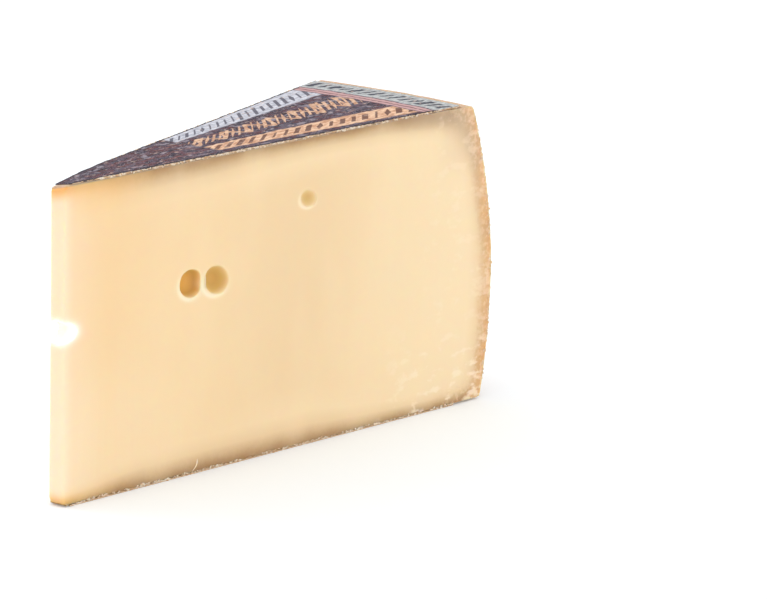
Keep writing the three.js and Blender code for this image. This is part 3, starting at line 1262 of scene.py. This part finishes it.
# %% Cheese gloss, depth of light and grain
grain = n.noise(place_mm, 2.6, 3.0, 0.6)
rough_zone = n.times(n.smooth(depth, 7.0, 0.0), grit)
height = n.times_plus(grain, 0.35, n.times(streaks, 0.15))
height = n.times_plus(rough_zone, 1.4, height)
crust = n.times_plus(fine, 2.2, n.times(medium, 4.0))
height = n.times_plus(weave, 0.4, n.times_plus(crust, on_skin, height))
bump = n.add("Bump", {"Strength": 0.55, "Distance": 0.00012, "Height": height})
n.feed(shader["Normal"], bump.outputs["Normal"])
dull = n.times_plus(grain, 0.15, 0.4)
n.feed(shader["Roughness"], n.times_plus(n.smooth(depth, 6.0, 0.0), 0.28, dull))
shader["Subsurface Weight"].default_value = 0.85
shader["Subsurface Radius"].default_value = (1.0, 0.62, 0.3)
shader["Subsurface Scale"].default_value = 0.003
shader["Specular IOR Level"].default_value = 0.35
cheese.data.materials.append(cheese_material)
n.report("cheese")

# %% [markdown]
# ## Ornament for the papers
#
# The papers carry bands of simple ornament with no words: slanted bars, with a lozenge in
# place of some. One group draws such a row. It cuts the way along the band into cells, picks
# each cell's bar or lozenge and its length by chance, and puts out a mask.

# %% A row of bars and lozenges
inputs = {"Along": 0.0, "Across": 0.0, "Pitch": 4.0, "Width": 0.3, "Slant": 0.3, "Seed": 0.0}
ornament_row, n, taken, given = new_group("ornament_row", inputs, ["Mask"])
cells_along = n.math("DIVIDE", taken["Along"], taken["Pitch"])
leaning = n.times_plus(taken["Across"], taken["Slant"], cells_along)
cell = n.math("FLOOR", leaning)
chance = n.chance(n.math("ADD", cell, taken["Seed"]))
other_chance = n.chance(n.times_plus(cell, 1.7, taken["Seed"]))
aside = n.math("ABSOLUTE", n.math("SUBTRACT", n.math("SUBTRACT", leaning, cell), 0.5))
away = n.math("ABSOLUTE", taken["Across"])
bar_length = n.times_plus(chance, 0.4, 0.45)
bar_width = n.times(taken["Width"], n.times_plus(other_chance, 0.9, 0.5))
in_width = n.smooth(n.math("SUBTRACT", bar_width, aside), -0.04, 0.04)
in_length = n.smooth(n.math("SUBTRACT", bar_length, away), -0.06, 0.06)
bar = n.math("MINIMUM", in_width, in_length)
lozenge = n.smooth(n.times_plus(aside, 2.2, away), 0.72, 0.62)
choice = {0: n.math("GREATER_THAN", chance, 0.72), 2: bar, 3: lozenge}
n.feed(given["Mask"], n.add("Mix", choice, data_type="FLOAT").outputs[0])
n.report("ornament row")


def row(n, along, across, pitch, width, slant, seed):
    """The mask of one row of ornament; across is -1 to 1 from side to side of its band."""
    places = dict(Along=along, Across=across, Seed=seed)
    return n.group(ornament_row, Pitch=pitch, Width=width, Slant=slant, **places)["Mask"]


# %% [markdown]
# ## Printed paper
#
# Dark violet-brown paper with a silver band by the far cut, a terracotta band by the near
# one, terracotta strokes between them, and round the rim two rose lines and a silver band.
# The narrow part has folds and three dull red rows. The light that the creases catch is
# painted in as pale sheen, handling has rubbed the ink off their tops, and the torn edge
# shows the paper's own cream colour.

# %% Where things are on the paper
paper_material, n, shader = new_material("printed_paper")
place_mm = place_in_mm(n)
where = n.group(round_place, Vector=place_mm)
waver = n.times_plus(n.noise(place_mm, 0.35, 3.0), 0.06, -0.03)
share = n.math("ADD", where["Share"], waver)
out = n.times_plus(waver, 14.0, where["Out"])
share_left = n.math("SUBTRACT", 1.0, n.math("ABSOLUTE", where["Share"]))
to_cut = n.times(share_left, out, HALF_ANGLE)
n.report("places")

# %% [markdown]
# The ground is dark ink on wrinkled paper. Each layer is one way in which the wrinkles
# show: warm where they cross, rose on some folds, and pale on other folds and along the
# ridges. The pale layers are painted sheen, the light that the creases catch.

# %% Dark ground with creases, and painted sheen on them
fine_creases = n.noise(n.stretch(place_mm, (0.35, 1.6, 1.0), 0.5), 0.9, 4.0, 0.65)
cross_creases = n.noise(n.stretch(place_mm, (0.5, 1.5, 1.0), -0.7), 0.7, 4.0, 0.65)
folds = n.noise(n.stretch(place_mm, (0.5, 0.9, 1.0), 0.6), 0.6, 3.0, 0.6)
broad = n.noise(n.stretch(place_mm, (0.4, 1.3, 1.0), 0.3), 0.3, 2.0)
ridge_highlight = n.math("ABSOLUTE", n.math("SUBTRACT", cross_creases, 0.5))
ground = n.mix(n.smooth(fine_creases, 0.4, 0.6), tone(34, 28, 38), tone(80, 72, 88))
ground = n.lay(ground, tone(98, 58, 58), n.smooth(cross_creases, 0.5, 0.62), 0.75)
ground = n.lay(ground, tone(118, 72, 76), n.smooth(folds, 0.54, 0.6), 0.5)
# painted highlight: pale sheen on one side of the folds
ground = n.lay(ground, tone(168, 158, 168), n.smooth(folds, 0.44, 0.36), 0.7)
ground = n.lay(ground, tone(110, 102, 118), n.smooth(broad, 0.5, 0.7), 0.45)
# painted highlight: pale sheen along the ridges of the creases
ground = n.lay(ground, tone(160, 150, 164), n.smooth(ridge_highlight, 0.02, 0.0), 0.6)
n.report("ground")

# %% Three dull red rows on the narrow part
RED_ROWS = {61.0: -0.47, 67.0: -0.02, 71.0: 0.43}  # the middle of each row, by its seed
RED_HALF = 0.15
DULL_RED = tone(150, 92, 88)
red_rows = []
for seed, middle in RED_ROWS.items():
    across = n.centred(share, middle, RED_HALF)
    marks = row(n, out, across, pitch=2.1, width=0.2, slant=0.8, seed=seed)
    red_rows.append(n.times(marks, n.between(across, -1.0, 1.0, 0.1)))
red_mask = n.math("MAXIMUM", red_rows[0], n.math("MAXIMUM", red_rows[1], red_rows[2]))
red_length = n.times(n.smooth(out, 34.0, 38.0), n.smooth(out, 66.5, 65.0))
ground = n.lay(ground, DULL_RED, red_mask, red_length, 0.55)
n.report("red rows")

# %% [markdown]
# Every band is laid in the same way: a colour that changes with the creases, marks from
# the row group on top, and a mask for where the band lies.

# %% Silver band by the far cut
SILVER_MIDDLE, SILVER_HALF = 0.755, 0.19
silver_grain = n.smooth(fine_creases, 0.35, 0.65)
silver = n.mix(silver_grain, tone(166, 168, 180), tone(222, 223, 232))
length_mask = n.times(n.smooth(out, 67.0, 68.5), n.smooth(out, 137.0, 136.0))
across = n.centred(share, SILVER_MIDDLE, SILVER_HALF)
marks = row(n, out, across, pitch=3.7, width=0.17, slant=-1.0, seed=3.0)
silver = n.lay(silver, tone(74, 72, 88), marks, 0.85)
printed = n.lay(ground, silver, n.between(share, 0.57, 1.1, 0.02), length_mask)
n.report("silver band")

# %% Terracotta band by the near cut, whose sides run almost along the cut
terracotta = n.mix(n.smooth(cross_creases, 0.4, 0.62), tone(200, 150, 120), tone(240, 202, 170))
band_middle = n.times_plus(out, -0.0034, -0.219)
band_half = n.times_plus(out, -0.0004, 0.257)
across = n.math("DIVIDE", n.math("SUBTRACT", share, band_middle), band_half)
marks = row(n, out, across, pitch=4.0, width=0.2, slant=-1.05, seed=11.0)
marked = n.lay(terracotta, tone(92, 58, 54), marks, 0.85)
printed = n.lay(printed, marked, n.between(across, -1.0, 1.0, 0.08), length_mask)
n.report("terracotta band")

# %% [markdown]
# Between the two bands stand tall slanted strokes with a wavy line through them. The wavy
# line is a sine wave along the wedge, drawn where the distance from it is small.

# %% Strokes between the bands
STROKE_MIDDLE, STROKE_HALF = 0.15, 0.34
across = n.centred(share, STROKE_MIDDLE, STROKE_HALF)
tall = row(n, out, across, pitch=2.7, width=0.21, slant=-2.3, seed=23.0)
swing = n.math("SINE", n.times(out, 0.62))
vine = n.math("ABSOLUTE", n.times_plus(swing, -0.5, across))
strokes = n.math("MAXIMUM", tall, n.smooth(vine, 0.2, 0.12))
in_band = n.between(across, -0.95, 0.95, 0.05)
printed = n.lay(printed, terracotta, strokes, length_mask, in_band, 0.9)
n.report("strokes")

# %% Round the rim
RIM_MIDDLE, RIM_HALF = 145.4, 3.9
RIM_ARC_RADIUS = 145.0
rose = n.mix(n.between(out, 138.4, 139.0, 0.25), tone(200, 160, 160), tone(118, 86, 88))
printed = n.lay(printed, rose, n.between(out, 137.0, 140.6, 0.3))
rim_silver = n.mix(silver_grain, tone(150, 152, 154), tone(204, 208, 208))
arc = n.times(share, HALF_ANGLE, RIM_ARC_RADIUS)
across = n.centred(out, RIM_MIDDLE, RIM_HALF)
marks = row(n, arc, across, pitch=3.1, width=0.26, slant=0.5, seed=47.0)
rim_silver = n.lay(rim_silver, tone(62, 64, 78), marks, 0.95)
printed = n.lay(printed, rim_silver, n.smooth(out, 140.9, 141.6))
n.report("rim")

# %% [markdown]
# A dark line runs along both cuts, and outside it the wire has torn the sheet, so that
# bare paper shows. Both follow the distance to the cut. On the far side they are narrower.

# %% Dark line along the cuts, rubbed creases and the torn edge
DARK_LINE = tone(58, 50, 58)
RUBBED = tone(214, 186, 172)
BARE_PAPER = tone(222, 190, 154)
far_half = n.smooth(share, -0.2, 0.2)
line_width = n.times_plus(far_half, -0.8, 1.35)
cut_line = n.smooth(n.math("SUBTRACT", to_cut, line_width), 0.15, -0.15)
printed = n.lay(printed, DARK_LINE, cut_line, n.smooth(out, 141.5, 140.0))
rubbed = mottled(n, n.stretch(place_mm, (0.6, 1.5, 1.0), 0.4), 1.3, 0.36, 0.025)
printed = n.lay(printed, RUBBED, rubbed, 0.55)
torn_limit = n.times_plus(n.noise(place_mm, 1.1, 2.0), 1.1, -0.15)
torn_limit = n.times_plus(far_half, -0.8, torn_limit)
torn = n.smooth(n.math("SUBTRACT", to_cut, torn_limit), 0.12, -0.12)
n.feed(shader["Base Color"], n.lay(printed, BARE_PAPER, torn))
n.report("edges")

# %% [markdown]
# The ink is matt, and a little duller on the creases. The bump adds creases finer than
# those in the mesh.

# %% Paper's gloss and creases
height = n.math("ADD", fine_creases, cross_creases)
bump = n.add("Bump", {"Strength": 0.8, "Distance": 0.00025, "Height": height})
n.feed(shader["Normal"], bump.outputs["Normal"])
n.feed(shader["Roughness"], n.times_plus(fine_creases, 0.3, 0.5))
shader["Specular IOR Level"].default_value = 0.1
for piece in (top_paper, base_paper):
    piece.data.materials.append(paper_material)
n.report("paper")

# %% [markdown]
# ## Fibres, crumbs and curl
#
# Paper fibres, crumbs and the curl are small, pale and dull, and what colour they have comes
# in patches as large as a crumb. They differ only in tone and in how much light they let
# through, so one function makes all three.


# %% Pale scraps
def scrap_material(name, pale, dark, glow):
    material, n, shader = new_material(name)
    place_mm = place_in_mm(n)
    stained = mottled(n, place_mm, 0.9, 0.5, 0.14)
    n.feed(shader["Base Color"], n.mix(stained, tone(*pale), tone(*dark)))
    grain = n.noise(place_mm, 5.0, 2.0)
    n.feed(shader["Roughness"], n.times_plus(grain, 0.3, 0.55))
    bump = n.add("Bump", {"Strength": 0.6, "Distance": 0.00006, "Height": grain})
    n.feed(shader["Normal"], bump.outputs["Normal"])
    shader["Subsurface Weight"].default_value = glow
    shader["Subsurface Radius"].default_value = (1.0, 0.7, 0.4)
    shader["Subsurface Scale"].default_value = 0.0006
    n.report(name)
    return material


fibre_material = scrap_material("paper_fibre", (250, 232, 208), (206, 162, 120), 0.3)
torn_fibres.data.materials.append(fibre_material)
crumb_material = scrap_material("crumb", (248, 222, 196), (222, 180, 134), 0.5)
rind_crumbs.data.materials.append(crumb_material)
curl_material = scrap_material("curl", (255, 244, 220), (252, 230, 192), 0.5)
cut_curl.data.materials.append(curl_material)

# %% [markdown]
# ## Studio
#
# A pale floor, a white sky for even light, one broad lamp behind and to the left, which
# makes the thin tip glow, and a weak one in front for the near cut.

# %% Floor
FLOOR_SIZE = 6
bpy.ops.mesh.primitive_plane_add(size=FLOOR_SIZE, location=(0, 0, 0))
floor = bpy.context.object
floor.name = "floor"
floor_material, n, shader = new_material("floor")
shader["Base Color"].default_value = (0.9, 0.92, 0.94, 1)
shader["Emission Color"].default_value = (0.72, 0.9, 1.0, 1)
shader["Emission Strength"].default_value = 0.13
shader["Roughness"].default_value = 0.9
shader["Specular IOR Level"].default_value = 0.1
floor.data.materials.append(floor_material)
print("floor:", FLOOR_SIZE, "m wide")

# %% World
world = bpy.data.worlds.new("studio")
bpy.context.scene.world = world
world.use_nodes = True
sky = world.node_tree.nodes["Background"].inputs
sky["Color"].default_value = (1, 1, 1, 1)
sky["Strength"].default_value = 1.0
bpy.context.scene.view_settings.view_transform = "Standard"
print("sky strength:", sky["Strength"].default_value)


# %% [markdown]
# A broad lamp gives soft shadows. This one stands behind and to the left, so its light
# also comes through the tip, and the weak lamp in front only lifts the near cut.


# %% Lamps
def lamp(name, place, size, power):
    """A square lamp that looks at the middle of the wedge."""
    data = bpy.data.lights.new(name, "AREA")
    data.size, data.energy = size, power
    light = bpy.data.objects.new(name, data)
    bpy.context.collection.objects.link(light)
    light.location = place
    towards = Vector((0, 0, 0.04)) - light.location
    light.rotation_euler = towards.to_track_quat("-Z", "Y").to_euler()
    print(f"{name} lamp: {power} W, {towards.length:.2f} m away")


lamp("key", (-0.25, 1.05, 0.85), 0.8, 4.0)
lamp("fill", (-0.3, -1.4, 1.2), 1.2, 2.0)

# %% [markdown]
# The camera stands well back and has a long lens, as for any small product. That keeps the
# upright edges of the wedge nearly parallel.

# %% Camera
CAMERA_TURN = math.radians(55.12)
CAMERA_DIP = math.radians(14.67)
CAMERA_ROLL = math.radians(1.44)
CAMERA_DISTANCE = 1218.1
CAMERA_AIM = np.array([148.6, 0.0, 24.0])  # out along the middle line, across and up
SENSOR_WIDTH, LENS = 36, 220.6
camera_data = bpy.data.cameras.new("camera")
camera_data.sensor_width = SENSOR_WIDTH
camera_data.lens = LENS
camera = bpy.data.objects.new("camera", camera_data)
bpy.context.collection.objects.link(camera)
cos_dip = math.cos(CAMERA_DIP)
forward = [cos_dip * math.sin(CAMERA_TURN), cos_dip * math.cos(CAMERA_TURN), -math.sin(CAMERA_DIP)]
forward = np.array(forward)
right = np.array([math.cos(CAMERA_TURN), -math.sin(CAMERA_TURN), 0.0])
upward = np.cross(right, forward)
cos, sin = math.cos(CAMERA_ROLL), math.sin(CAMERA_ROLL)
right, upward = cos * right + sin * upward, cos * upward - sin * right
place = (CAMERA_AIM + [AXIS_X, 0, 0] - forward * CAMERA_DISTANCE) * MM
matrix = Matrix(np.stack([right, upward, -forward], 1).tolist()).to_4x4()
matrix.translation = Vector(place)
camera.matrix_world = matrix
bpy.context.scene.camera = camera
print(f"camera {CAMERA_DISTANCE / 1000:.2f} m away, lens {LENS} mm")
